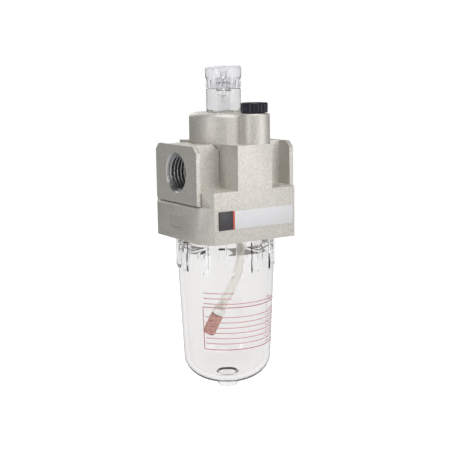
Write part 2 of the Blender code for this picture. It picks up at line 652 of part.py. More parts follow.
def damper_retainer(look):
    """The moulded plug under the airway; its window holds the damper flap."""
    bottom = flange_bottom()
    frame_radius = AIRWAY_RADIUS - GAP
    made = turned("damper_retainer", [
        (0, RETAINER_TOP), (RETAINER_RADIUS, RETAINER_TOP), (RETAINER_RADIUS, seal_bottom() - GAP),
        (FLANGE_RADIUS, seal_bottom() - GAP), (FLANGE_RADIUS, bottom), (0, bottom)], look, 32)
    ears = box("retainer_ears", (-EAR_REACH, EAR_REACH), (-EAR_WIDTH / 2, EAR_WIDTH / 2),
               (bottom + GAP, seal_bottom() - 2 * GAP))
    combine(made, ears, "UNION")
    neck_half = frame_radius * 0.8
    combine(made, box("retainer_neck", (-FRAME_THICK / 2, FRAME_THICK / 2), (-neck_half, neck_half),
                      (RETAINER_TOP - CUT, -WINDOW_HEIGHT / 2)), "UNION")
    combine(made, turned("retainer_frame", [
        (0, FRAME_THICK / 2 + GAP / 2), (frame_radius, FRAME_THICK / 2 + GAP / 2),
        (frame_radius, -FRAME_THICK / 2 - GAP / 2), (0, -FRAME_THICK / 2 - GAP / 2)],
        rotation=(0, math.pi / 2, 0)), "UNION")
    combine(made, box("cut_window", (-FRAME_THICK, FRAME_THICK), (-WINDOW_WIDTH / 2, WINDOW_WIDTH / 2),
                      (-WINDOW_HEIGHT / 2, WINDOW_HEIGHT / 2)), "DIFFERENCE")
    combine(made, turned("cut_ball_bore", [
        (0, RETAINER_TOP + CUT), (BALL_RADIUS + GAP, RETAINER_TOP + CUT),
        (BALL_RADIUS + GAP, BALL_LEDGE), (BALL_PORT, BALL_LEDGE), (BALL_PORT, bottom - CUT),
        (0, bottom - CUT)], segments=TINY_ROUND, location=(BALL_X, 0, 0)), "DIFFERENCE")
    x, y = tube_place()
    combine(made, turned("cut_fitting_bore", [
        (0, bottom + FITTING_SHANK_LENGTH + GAP), (FITTING_SHANK + GAP, bottom + FITTING_SHANK_LENGTH + GAP),
        (FITTING_SHANK + GAP, bottom - CUT), (0, bottom - CUT)],
        segments=TINY_ROUND, location=(x, y, 0)), "DIFFERENCE")
    for side in (-1, 1):
        hole = turned(f"cut_ear_{side_name(side)}", [
            (0, SOCKET_CEILING), (SCREW_RADIUS + GAP, SOCKET_CEILING),
            (SCREW_RADIUS + GAP, bottom - CUT), (0, bottom - CUT)],
            segments=TINY_ROUND, location=(SCREW_X * side, 0, 0))
        combine(made, hole, "DIFFERENCE")
    return made


def retainer_seal(look):
    high = SOCKET_CEILING - GAP
    inner = RETAINER_RADIUS + GAP
    outer = SCREW_X - SCREW_RADIUS - GAP
    return turned("retainer_seal", [(inner, high), (outer, high), (outer, high - SEAL_THICK),
                                    (inner, high - SEAL_THICK)], look, 32)


def retainer_screw(side, look):
    """A pan-head screw through an ear of the retainer."""
    head_top = flange_bottom() - GAP
    return turned(f"retainer_screw_{side_name(side)}", [
        (0, head_top + SCREW_LENGTH), (SCREW_RADIUS, head_top + SCREW_LENGTH), (SCREW_RADIUS, head_top),
        (SCREW_HEAD_RADIUS, head_top), (SCREW_HEAD_RADIUS, head_top - SCREW_HEAD * 0.6),
        (SCREW_HEAD_RADIUS * 0.7, head_top - SCREW_HEAD), (0, head_top - SCREW_HEAD)],
        look, TINY_ROUND, location=(SCREW_X * side, 0, 0))


def flap_hinge_height():
    return WINDOW_HEIGHT / 2 - GAP - FLAP_HUB


def damper_flap(look):
    """The flap in the airway, hung from its top edge; its origin is on the hinge."""
    drop = flap_hinge_height() + WINDOW_HEIGHT / 2 - GAP
    half_thick = FLAP_THICK / 2
    arc = [math.radians(-30 + 48 * step) for step in range(6)]
    outline = [(FLAP_HUB * math.cos(turn), FLAP_HUB * math.sin(turn)) for turn in arc]
    outline += [(-half_thick, -drop), (half_thick, -drop)]
    half_width = WINDOW_WIDTH / 2 - GAP
    return prism("damper_flap", outline, -half_width, half_width, look, along="Y",
                 location=(0, 0, flap_hinge_height()))


def ball_rest_height():
    """Centre of the ball, a little above the ledge of its port."""
    return BALL_LEDGE + math.sqrt(BALL_RADIUS ** 2 - BALL_PORT ** 2) + GAP / 2


def check_ball(look):
    height = ball_rest_height()
    outline = [(0, BALL_RADIUS)]
    for step in range(1, 8):
        turn = math.pi * step / 8
        outline.append((BALL_RADIUS * math.sin(turn), BALL_RADIUS * math.cos(turn)))
    outline.append((0, -BALL_RADIUS))
    return turned("check_ball", outline, look, TINY_ROUND, location=(BALL_X, 0, height))


def check_seat(look):
    """The bushing that the ball rises against."""
    low = ball_rest_height() + BALL_STROKE + math.sqrt(BALL_RADIUS ** 2 - SEAT_BORE ** 2) + GAP / 2
    outer = BALL_RADIUS
    return turned("check_seat", [(SEAT_BORE, low + SEAT_HEIGHT), (outer, low + SEAT_HEIGHT),
                                 (outer, low), (SEAT_BORE, low)], look, TINY_ROUND,
                  location=(BALL_X, 0, 0))


def tube_place():
    """Where the siphon tube hangs under the retainer."""
    return (TUBE_OFFSET * math.cos(TUBE_AZIMUTH), TUBE_OFFSET * math.sin(TUBE_AZIMUTH))


def tube_top():
    return flange_bottom() - 2 * GAP - FITTING_COLLAR_THICK


def tube_fitting(look):
    """The barbed fitting that the siphon tube is pushed onto."""
    bottom = flange_bottom()
    collar_top = bottom - GAP
    collar_low = collar_top - FITTING_COLLAR_THICK
    outline = [(0, bottom + FITTING_SHANK_LENGTH), (FITTING_SHANK, bottom + FITTING_SHANK_LENGTH),
               (FITTING_SHANK, collar_top), (FITTING_COLLAR, collar_top), (FITTING_COLLAR, collar_low),
               (FITTING_PIPE, collar_low)]
    pipe_end = TUBE_STRAIGHT_END + CUT
    for index in range(BARB_COUNT):
        height = pipe_end + (BARB_COUNT - index) * BARB_PITCH
        outline += [(FITTING_PIPE, height), (FITTING_BARB, height), (FITTING_PIPE, height - BARB_PITCH * 0.8)]
    outline += [(FITTING_PIPE, pipe_end), (0, pipe_end)]
    return turned("tube_fitting", outline, look, TINY_ROUND, location=(*tube_place(), 0))


def tube_route():
    """Points of the siphon tube's centre line, as (offset, height), top first."""
    lean = Vector((math.sin(TUBE_LEAN), math.cos(TUBE_LEAN)))
    end = Vector(TUBE_END)
    knots = [Vector((TUBE_OFFSET, tube_top())), Vector((TUBE_OFFSET, TUBE_STRAIGHT_END))]
    knots += [Vector(point) for point in TUBE_BEND] + [end]
    before = [knots[0] + (knots[0] - knots[1])] + knots
    after = knots + [end - lean * (knots[-2] - end).length]
    route = [knots[0]]
    for index in range(1, len(knots) - 1):
        start, stop = knots[index], knots[index + 1]
        pull_in = (stop - before[index]) / 2
        pull_out = (after[index + 2] - start) / 2
        if index == 1:
            pull_in = Vector((0, -1)) * (stop - start).length
        for step in range(3):
            t = step / 3
            route.append(start * (2 * t ** 3 - 3 * t ** 2 + 1) + pull_in * (t ** 3 - 2 * t ** 2 + t)
                         + stop * (3 * t ** 2 - 2 * t ** 3) + pull_out * (t ** 3 - t ** 2))
    route.append(end)
    return route


def siphon_tube(look, plane):
    """The flexible tube that draws oil from the bottom of the bowl."""
    route = tube_route()
    lean = Vector((math.sin(TUBE_LEAN), math.cos(TUBE_LEAN)))
    shape = bmesh.new()
    turns = [2 * math.pi * step / TUBE_SIDES for step in range(TUBE_SIDES)]
    rings = []
    for index, point in enumerate(route):
        if index == 0:
            along = Vector((0, -1))
        elif index == len(route) - 1:
            along = -lean
        else:
            along = (route[index + 1] - route[index - 1]).normalized()
        side = Vector((-along.y, along.x))
        pair = []
        for radius in (TUBE_RADIUS, TUBE_BORE):
            pair.append([shape.verts.new((point.x + side.x * radius * math.cos(turn),
                                          radius * math.sin(turn),
                                          point.y + side.y * radius * math.cos(turn)))
                         for turn in turns])
        rings.append(pair)
    skins = [(rings[index][skin], rings[index + 1][skin])
             for index in range(len(rings) - 1) for skin in (0, 1)]
    skins += [(rings[0][0], rings[0][1]), (rings[-1][0], rings[-1][1])]
    for first, second in skins:
        for step in range(TUBE_SIDES):
            ahead = (step + 1) % TUBE_SIDES
            shape.faces.new((first[step], first[ahead], second[ahead], second[step]))
    return finish("siphon_tube", shape, look, parent=plane)


def strainer_holder(look, plane):
    """The collar between the tube and the strainer, with a spigot in the tube."""
    return turned("strainer_holder", [
        (0, SPIGOT_LENGTH), (FITTING_PIPE, SPIGOT_LENGTH), (FITTING_PIPE, -GAP),
        (HOLDER_RADIUS - GAP, -GAP), (HOLDER_RADIUS, -2 * GAP), (HOLDER_RADIUS, -GAP - HOLDER_LENGTH),
        (0, -GAP - HOLDER_LENGTH)], look, SMALL_ROUND,
        location=(TUBE_END[0], 0, TUBE_END[1]), rotation=(0, TUBE_LEAN, 0), parent=plane)


def strainer(look, plane):
    """The sintered bronze strainer at the end of the siphon tube."""
    top = -2 * GAP - HOLDER_LENGTH
    bottom = top - STRAINER_LENGTH
    return turned("strainer", [
        (0, top), (STRAINER_RADIUS - GAP, top), (STRAINER_RADIUS, top - GAP),
        (STRAINER_RADIUS, bottom + STRAINER_EDGE),
        (STRAINER_RADIUS - STRAINER_EDGE, bottom), (0, bottom)], look, SMALL_ROUND,
        location=(TUBE_END[0], 0, TUBE_END[1]), rotation=(0, TUBE_LEAN, 0), parent=plane)


def main():
    for leftover in list(bpy.data.objects):
        bpy.data.objects.remove(leftover)

    paint = material("cast_paint", (0.60, 0.58, 0.54), 0.42, 0.55)
    plate = material("white_print", (0.86, 0.86, 0.86), 0.5)
    clear = material("clear_polycarbonate", (0.97, 0.98, 0.98), 0.03, 0.0, 1.0, 1.58)
    black = material("black_plastic", (0.02, 0.02, 0.028), 0.4)
    rubber = material("black_rubber", (0.015, 0.015, 0.015), 0.7)
    white = material("white_acetal", (0.82, 0.82, 0.78), 0.45)
    cream = material("cream_tube", (0.80, 0.78, 0.66), 0.35)
    bronze = material("sintered_bronze", (0.42, 0.24, 0.19), 0.7, 0.6)
    steel = material("steel", (0.60, 0.60, 0.60), 0.3, 1.0)
    brass = material("brass", (0.72, 0.52, 0.25), 0.3, 1.0)

    body_casting(paint)
    port_block(-1, paint)
    port_block(1, paint)
    nameplate(plate)
    bowl(clear)
    bowl_ring(rubber)
    sight_dome(clear)
    dome_gasket(rubber)
    drip_nozzle(white)
    needle_ring(rubber)
    needle_valve(white)
    adjusting_knob(clear)
    filler_plug(black)
    plug_ring(rubber)
    damper_retainer(white)
    retainer_seal(rubber)
    retainer_screw(-1, steel)
    retainer_screw(1, steel)
    damper_flap(rubber)
    check_ball(steel)
    check_seat(brass)
    tube_fitting(white)
    tube_plane = empty("tube_plane", rotation=(0, 0, TUBE_AZIMUTH))
    siphon_tube(cream, tube_plane)
    strainer_holder(white, tube_plane)
    strainer(bronze, tube_plane)


main()
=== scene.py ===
import math

import bmesh
import bpy
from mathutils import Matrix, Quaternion, Vector, noise


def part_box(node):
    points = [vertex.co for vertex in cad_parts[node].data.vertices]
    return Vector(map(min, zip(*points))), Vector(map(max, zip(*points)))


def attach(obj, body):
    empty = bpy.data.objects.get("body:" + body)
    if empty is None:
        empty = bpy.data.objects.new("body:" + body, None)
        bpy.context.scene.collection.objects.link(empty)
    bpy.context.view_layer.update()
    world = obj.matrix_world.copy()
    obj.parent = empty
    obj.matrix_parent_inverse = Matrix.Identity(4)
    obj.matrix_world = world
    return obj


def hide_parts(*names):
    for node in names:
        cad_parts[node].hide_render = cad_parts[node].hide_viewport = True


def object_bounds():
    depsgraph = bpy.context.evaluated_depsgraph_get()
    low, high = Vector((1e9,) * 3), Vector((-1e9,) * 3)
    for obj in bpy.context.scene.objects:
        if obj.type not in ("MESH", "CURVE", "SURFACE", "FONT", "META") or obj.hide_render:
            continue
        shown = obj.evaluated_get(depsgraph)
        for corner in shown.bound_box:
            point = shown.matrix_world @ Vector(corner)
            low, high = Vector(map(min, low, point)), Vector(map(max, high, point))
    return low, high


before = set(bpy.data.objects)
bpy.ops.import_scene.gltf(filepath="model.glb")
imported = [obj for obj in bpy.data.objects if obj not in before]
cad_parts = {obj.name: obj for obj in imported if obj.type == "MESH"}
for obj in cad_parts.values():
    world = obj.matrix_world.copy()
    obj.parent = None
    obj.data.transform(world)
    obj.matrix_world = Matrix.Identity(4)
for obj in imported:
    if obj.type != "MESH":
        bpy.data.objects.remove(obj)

CAD_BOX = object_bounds()

mm = 0.001
PHOTO = 452                     # the photograph's width and height in pixels

# Camera, solved from the outline of the object in the photograph
CAMERA_AZIMUTH = math.radians(32.32)
CAMERA_PITCH = math.radians(9.435)
CAMERA_ROLL = -0.015
CAMERA_DISTANCE = 344.04 * mm
CAMERA_HEIGHT = 36.43 * mm
FOCAL_PIXELS = 969.06
SHIFT_PIXELS = 0.6

# Room: azimuth 0 stands before the front of the object, 90 at its right
BACKDROP_AZIMUTH = 148
ROOM_TONE = 0.095               # all round, for reflections and diffuse light
GLASS_SIDE = 0.5                # beside and before the backdrop, seen through glass
FLOOR_FAR = 0.16
FLOOR_NEAR = 0.44
FLOOR_THROUGH_GLASS = 0.8
PANEL_AIM = Vector((0, 0, -0.02))

# Fine facets of the round pieces
SMALL_ROUND = 96
FACETS_PER_FLUTE = 12
SMOOTH_ANGLE = 32               # edges sharper than this many degrees stay sharp

# Sizes shared with the solids, in the same frame
CASTING = ("body_casting", "port_block_left", "port_block_right")
BODY_BOTTOM = -23.3 * mm
BODY_FRONT = -19.5 * mm
COLLAR_BOTTOM = -35.2 * mm
GAP = 0.3 * mm                  # between neighbouring solids

# The bowl's outer wall tapers from the collar's lower edge to the foot
BOWL_WALL = 17.25 * mm
BOWL_FOOT = 15.75 * mm
BOWL_FOOT_HEIGHT = -67.8 * mm

# The siphon tube hangs in an upright plane through the middle of the body
TUBE_AZIMUTH = math.radians(-32)
TUBE_OFFSET = 5.2 * mm
TUBE_END = (-2.1 * mm, -50.5 * mm)
TUBE_LEAN = math.radians(26)


def box_of(node):
    """Lowest and highest corner of a solid of the frame."""
    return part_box(node)


# ---------------------------------------------------------------- materials

class Look:
    """A Principled material and short ways to add nodes to it."""

    def __init__(self, name, colour, roughness, metallic=0.0, **sockets):
        self.material = bpy.data.materials.new(name)
        self.material.use_nodes = True
        self.nodes = self.material.node_tree.nodes
        self.links = self.material.node_tree.links
        self.shader = self.nodes["Principled BSDF"]
        self.set("Base Color", (*colour, 1.0))
        self.set("Roughness", roughness)
        self.set("Metallic", metallic)
        for socket, value in sockets.items():
            self.set(socket.replace("_", " "), value)
        self.place = self.add("ShaderNodeTexCoord").outputs["Object"]

    def set(self, socket, value):
        self.shader.inputs[socket].default_value = value

    def add(self, kind, **settings):
        node = self.nodes.new(kind)
        for name, value in settings.items():
            setattr(node, name, value)
        return node

    def feed(self, source, socket):
        self.links.new(source, socket)

    def noise(self, size, detail=2.0):
        """A noise whose features measure about the given size."""
        node = self.add("ShaderNodeTexNoise")
        node.inputs["Scale"].default_value = 1.0 / size
        node.inputs["Detail"].default_value = detail
        self.feed(self.place, node.inputs["Vector"])
        return node.outputs["Fac"]

    def cells(self, size):
        """The distance from the middles of cells of about the given size."""
        node = self.add("ShaderNodeTexVoronoi")
        node.inputs["Scale"].default_value = 1.0 / size
        self.feed(self.place, node.inputs["Vector"])
        return node.outputs["Distance"]

    def math(self, operation, first, second):
        node = self.add("ShaderNodeMath", operation=operation)
        for slot, value in enumerate((first, second)):
            if isinstance(value, (int, float)):
                node.inputs[slot].default_value = value
            else:
                self.feed(value, node.inputs[slot])
        return node.outputs["Value"]

    def spread(self, source, low, high):
        """Map a 0.3 to 0.7 noise onto the given range."""
        node = self.add("ShaderNodeMapRange")
        node.inputs["From Min"].default_value = 0.3
        node.inputs["From Max"].default_value = 0.7
        node.inputs["To Min"].default_value = low
        node.inputs["To Max"].default_value = high
        self.feed(source, node.inputs["Value"])
        return node.outputs["Result"]

    def mix(self, factor, first, second):
        node = self.add("ShaderNodeMix", data_type="RGBA")
        self.feed(factor, node.inputs["Factor"])
        for socket, value in ((node.inputs["A"], first), (node.inputs["B"], second)):
            if isinstance(value, tuple):
                socket.default_value = (*value, 1.0)
            else:
                self.feed(value, socket)
        return node.outputs["Result"]

    def bump(self, source, height, strength, below=None):
        node = self.add("ShaderNodeBump")
        node.inputs["Strength"].default_value = strength
        node.inputs["Distance"].default_value = height
        self.feed(source, node.inputs["Height"])
        if below:
            self.feed(below, node.inputs["Normal"])
        return node.outputs["Normal"]

    def to(self, source, socket):
        self.feed(source, self.shader.inputs[socket])


def scaled(colour, factor):
    return tuple(min(channel * factor, 1.0) for channel in colour)


def cast_paint():
    """Warm grey metallic paint on the casting, bare metal inside the ports."""
    paint, bare = (0.66, 0.635, 0.59), (0.60, 0.59, 0.58)
    port_edge = 6.95 * mm
    look = Look("cast_paint", paint, 0.46, 0.5)
    fleck = look.spread(look.noise(0.42 * mm, 3.0), 0.0, 1.0)
    cloud = look.spread(look.noise(7 * mm, 2.0), 0.0, 1.0)
    shade = look.mix(fleck, scaled(paint, 0.80), scaled(paint, 1.18))
    shade = look.mix(look.math("MULTIPLY", cloud, 0.25), shade, scaled(paint, 0.93))
    split = look.add("ShaderNodeSeparateXYZ")
    look.feed(look.place, split.inputs["Vector"])
    across = look.math("ADD", look.math("POWER", split.outputs["Y"], 2.0),
                       look.math("POWER", split.outputs["Z"], 2.0))
    in_bore = look.math("LESS_THAN", across, port_edge ** 2)
    look.to(look.mix(in_bore, shade, bare), "Base Color")
    rough = look.spread(look.noise(0.5 * mm, 2.0), 0.42, 0.54)
    look.to(look.math("SUBTRACT", rough, look.math("MULTIPLY", in_bore, 0.14)), "Roughness")
    look.to(look.math("ADD", look.math("MULTIPLY", in_bore, 0.5), 0.5), "Metallic")
    grain = look.bump(look.noise(0.22 * mm, 2.0), 0.012 * mm, 0.55)
    look.to(look.bump(look.noise(1.4 * mm, 2.0), 0.02 * mm, 0.4, grain), "Normal")
    return look.material


def clear_plastic(name, tint, low_tint, roughness, ior):
    """Clear moulded plastic with a faint flow pattern; its tint changes downwards."""
    tint_top, tint_foot = -30 * mm, -75 * mm
    look = Look(name, tint, roughness, 0.0, Transmission_Weight=1.0, IOR=ior)
    split = look.add("ShaderNodeSeparateXYZ")
    look.feed(look.place, split.inputs["Vector"])
    depth = look.add("ShaderNodeMapRange")
    depth.inputs["From Min"].default_value = tint_top
    depth.inputs["From Max"].default_value = tint_foot
    look.feed(split.outputs["Z"], depth.inputs["Value"])
    look.to(look.mix(depth.outputs["Result"], tint, low_tint), "Base Color")
    flow = look.noise(9 * mm, 1.0)
    look.to(look.bump(flow, 0.03 * mm, 0.35), "Normal")
    return look.material


def moulded(name, colour, roughness, size=0.3 * mm, height=0.01 * mm, mottle=(0.92, 1.06),
            **sockets):
    """Plain moulded plastic or rubber with a fine skin."""
    look = Look(name, colour, roughness, 0.0, **sockets)
    skin = look.noise(size, 3.0)
    cloud = look.spread(look.noise(3 * mm, 2.0), 0.0, 1.0)
    look.to(look.mix(cloud, scaled(colour, mottle[0]), scaled(colour, mottle[1])), "Base Color")
    look.to(look.spread(skin, roughness - 0.05, roughness + 0.06), "Roughness")
    look.to(look.bump(skin, height, 0.6), "Normal")
    return look.material


def turned_metal(name, colour, roughness):
    """Machined metal with faint turning marks."""
    look = Look(name, colour, roughness, 1.0)
    marks = look.noise(0.08 * mm, 1.0)
    look.to(look.spread(marks, roughness - 0.06, roughness + 0.08), "Roughness")
    look.to(look.mix(look.noise(1.5 * mm), scaled(colour, 0.9), colour), "Base Color")
    look.to(look.bump(marks, 0.004 * mm, 0.5), "Normal")
    return look.material


def sintered(name):
    """Bronze grains fused together, pinkish brown and dull, with painted shade in the pores between
    the grains.
    """
    grain_size = 0.42 * mm
    look = Look(name, (0.60, 0.34, 0.28), 0.62, 0.15)
    grains = look.cells(grain_size)
    # Painted shade: the colour darkens away from the middle of each grain, into the pores between the
    # grains.
    tone = look.math("MULTIPLY", grains, 1.3)
    shade = look.mix(tone, (0.74, 0.42, 0.35), (0.26, 0.09, 0.07))
    patch = look.spread(look.noise(1.4 * mm, 2.0), 0.0, 0.55)
    look.to(look.mix(patch, shade, (0.66, 0.45, 0.32)), "Base Color")
    look.to(look.bump(look.math("SUBTRACT", 1.0, grains), 0.12 * mm, 0.9), "Normal")
    return look.material


# ------------------------------------------------------------------- shapes

def arc(centre, radius, start, stop, steps):
    """Points of a circle arc as (radius, height), angles in degrees."""
    points = []
    for step in range(steps + 1):
        turn = math.radians(start + (stop - start) * step / steps)
        points.append((centre[0] + radius * math.cos(turn), centre[1] + radius * math.sin(turn)))
    return points


def smooth(mesh, smooth_angle=SMOOTH_ANGLE):
    """Shade a mesh smooth but for its sharp edges."""
    mesh.shade_smooth()
    mesh.set_sharp_from_angle(angle=math.radians(smooth_angle))


def finish_mesh(name, shape, material, smooth_angle=SMOOTH_ANGLE):
    """Turn the faces outwards and put the shape into the scene."""
    bmesh.ops.recalc_face_normals(shape, faces=shape.faces)
    mesh = bpy.data.meshes.new(name)
    shape.to_mesh(mesh)
    shape.free()
    smooth(mesh, smooth_angle)
    mesh.materials.append(material)
    made = bpy.data.objects.new(name, mesh)
    bpy.context.scene.collection.objects.link(made)
    return made


def turned(name, outline, material, turns, relief=None, centre=(0, 0),
           smooth_angle=SMOOTH_ANGLE):
    """Turn an outline of (radius, height) about an upright axis.

    turns is a number of facets or a list of angles.  relief(angle, radius,
    height) gives the radius that a point really has.
    """
    if isinstance(turns, int):
        turns = [2 * math.pi * step / turns for step in range(turns)]
    shape = bmesh.new()
    rings = []
    for radius, height in outline:
        if radius == 0:
            rings.append([shape.verts.new((*centre, height))])
            continue
        ring = []
        for turn in turns:
            reach = relief(turn, radius, height) if relief else radius
            ring.append(shape.verts.new((centre[0] + reach * math.cos(turn),
                                         centre[1] + reach * math.sin(turn), height)))
        rings.append(ring)
    pairs = list(zip(rings, rings[1:]))
    if outline[0][0] > 0:
        pairs.append((rings[-1], rings[0]))
    count = len(turns)
    for upper, lower in pairs:
        for step in range(count):
            ahead = (step + 1) % count
            corners = [upper[step % len(upper)], upper[ahead % len(upper)],
                       lower[ahead % len(lower)], lower[step % len(lower)]]
            shape.faces.new(dict.fromkeys(corners))
    return finish_mesh(name, shape, material, smooth_angle)


def swept(name, route, radii, material, sides):
    """A hollow tube along a route, with an outer and an inner radius."""
    shape = bmesh.new()
    across = Vector((0, 0, 1)).cross(route[0] - route[-1]).normalized()
    rings = []
    for index, point in enumerate(route):
        before = route[max(index - 1, 0)]
        after = route[min(index + 1, len(route) - 1)]
        along = (after - before).normalized()
        side = along.cross(across).normalized()
        turns = [2 * math.pi * step / sides for step in range(sides)]
        rings.append([[shape.verts.new(point + side * radius * math.cos(turn)
                                       + across * radius * math.sin(turn)) for turn in turns]
                      for radius in radii])
    skins = [(first[layer], second[layer]) for first, second in zip(rings, rings[1:])
             for layer in (0, 1)]
    skins += [tuple(rings[0]), tuple(rings[-1])]
    for first, second in skins:
        for step in range(sides):
            ahead = (step + 1) % sides
            shape.faces.new((first[step], first[ahead], second[ahead], second[step]))
    return finish_mesh(name, shape, material)


def block(shape, near, far):
    """Add a block between two outlines with the same number of corners."""
    ends = [[shape.verts.new(corner) for corner in outline] for outline in (near, far)]
    shape.faces.new(ends[0])
    shape.faces.new(ends[1])
    count = len(near)
    for step in range(count):
        ahead = (step + 1) % count
        shape.faces.new((ends[0][step], ends[0][ahead], ends[1][ahead], ends[1][step]))


def work_on(piece, steps):
    """Join the piece with tool meshes or cut it with them, then remove the tools."""
    for tool, operation in steps:
        work = piece.modifiers.new("work", "BOOLEAN")
        work.operation, work.object, work.solver = operation, tool, "EXACT"
        work.use_self = operation == "UNION"
    made = piece.evaluated_get(bpy.context.evaluated_depsgraph_get())
    piece.data = bpy.data.meshes.new_from_object(made)
    piece.modifiers.clear()
    for tool, _ in steps:
        bpy.data.objects.remove(tool)


def stand_for(piece, body, slot, *nodes):
    """Put a piece on its body in place of solids of the frame."""
    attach(piece, body)
    if nodes:
        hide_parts(*nodes)


# ------------------------------------------------------------------- pieces

def casting_seams(material):
    """What fills the gaps between the casting's solids, just under its surface.

    An arch closes the gap beside each neck, and a ledge the one in each of the
    four pocket floors.
    """
    deck, pocket_floor, neck_foot = 9.65 * mm, -5.6 * mm, -7.9 * mm
    neck, column = 7.8 * mm, 7.0 * mm                 # half the depth, half the width
    flange, flange_back = 14.0 * mm, 18.4 * mm
    skin, lap = 0.6 * mm, 0.1 * mm                    # how thick a fill is, how far past its gap
    inner, outer = column - lap, flange_back - GAP - lap
    far_side, far_end = neck + GAP + lap, flange_back + 1.5 * lap
    arch = [(-neck, neck_foot), (skin - neck, neck_foot), (skin - neck, deck - skin),
            (neck - skin, deck - skin), (neck - skin, neck_foot), (neck, neck_foot),
            (neck, deck), (-neck, deck)]
    ledge = [(inner, neck - lap), (far_end, neck - lap), (far_end, flange), (outer, flange),
             (outer, far_side), (inner, far_side)]
    fill = bmesh.new()
    for side in (-1, 1):
        block(fill, *[[(reach * side, *corner) for corner in arch]
                      for reach in (inner, column + GAP + lap)])
        for face in (-1, 1):
            block(fill, *[[(x * side, y * face, height) for x, y in ledge]
                          for height in (pocket_floor - skin, pocket_floor)])
    return finish_mesh("casting_seams", fill, material)


def casting_mark(material):
    """The cutter of the bare recess low on the left face."""
    front, back, low, high = -3.3 * mm, 5.0 * mm, -19.5 * mm, -15.2 * mm
    outside, bottom = -21.0 * mm, -19.25 * mm
    corners = ((front, low), (back, low), (back, high), (front, high))
    cutter = bmesh.new()
    block(cutter, *[[(reach, *corner) for corner in corners] for reach in (outside, bottom)])
    return finish_mesh("casting_mark", cutter, material)


def make_casting(material):
    """One casting from the frame's three solids, the seams between them closed."""
    whole = bmesh.new()
    for node in CASTING:
        whole.from_mesh(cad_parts[node].data)
    bmesh.ops.remove_doubles(whole, verts=whole.verts, dist=0.002 * mm)
    casting = finish_mesh("casting", whole, material)
    work_on(casting, ((casting_seams(material), "UNION"), (casting_mark(material), "DIFFERENCE")))
    smooth(casting.data)
    planes = casting.modifiers.new("planes", "DECIMATE")
    planes.decimate_type = "DISSOLVE"
    planes.angle_limit = math.radians(0.6)
    edges = casting.modifiers.new("edges", "BEVEL")
    edges.width = 0.24 * mm
    edges.segments = 3
    edges.limit_method = "ANGLE"
    edges.angle_limit = math.radians(38)
    stand_for(casting, "body", "cast_paint", *CASTING)


def make_port_threads(material):
    """The quarter-inch pipe threads inside both port bores."""
    crest, root, pitch = 5.7225 * mm, 6.5 * mm, 1.337 * mm
    sleeve = 6.55 * mm                                # the hidden outside of the thread piece
    face, chamfer, depth, rows = 20.0 * mm, 0.48 * mm, 6.9 * mm, 96
    flank_slope, crest_share = 2.9, 0.35
    start = face - chamfer
    outline = [(sleeve, start), (sleeve, start - depth)]
    outline += [(root, start - depth * (1 - row / rows)) for row in range(rows + 1)]

    def helix(turn, radius, height):
        if radius > root:
            return radius
        phase = (height / pitch - turn / (2 * math.pi)) % 1.0
        flank = min(max(abs(phase - 0.5) * flank_slope - crest_share, 0.0), 1.0)
        mouth = max(root - (start - height), crest)
        return max(root - (root - crest) * (1 - flank), mouth)

    for side, label in ((-1, "left"), (1, "right")):
        thread = turned(f"port_thread_{label}", outline, material, SMALL_ROUND, helix)
        thread.rotation_euler = (0, math.pi / 2 * side, 0)
        stand_for(thread, "body", "cast_paint")


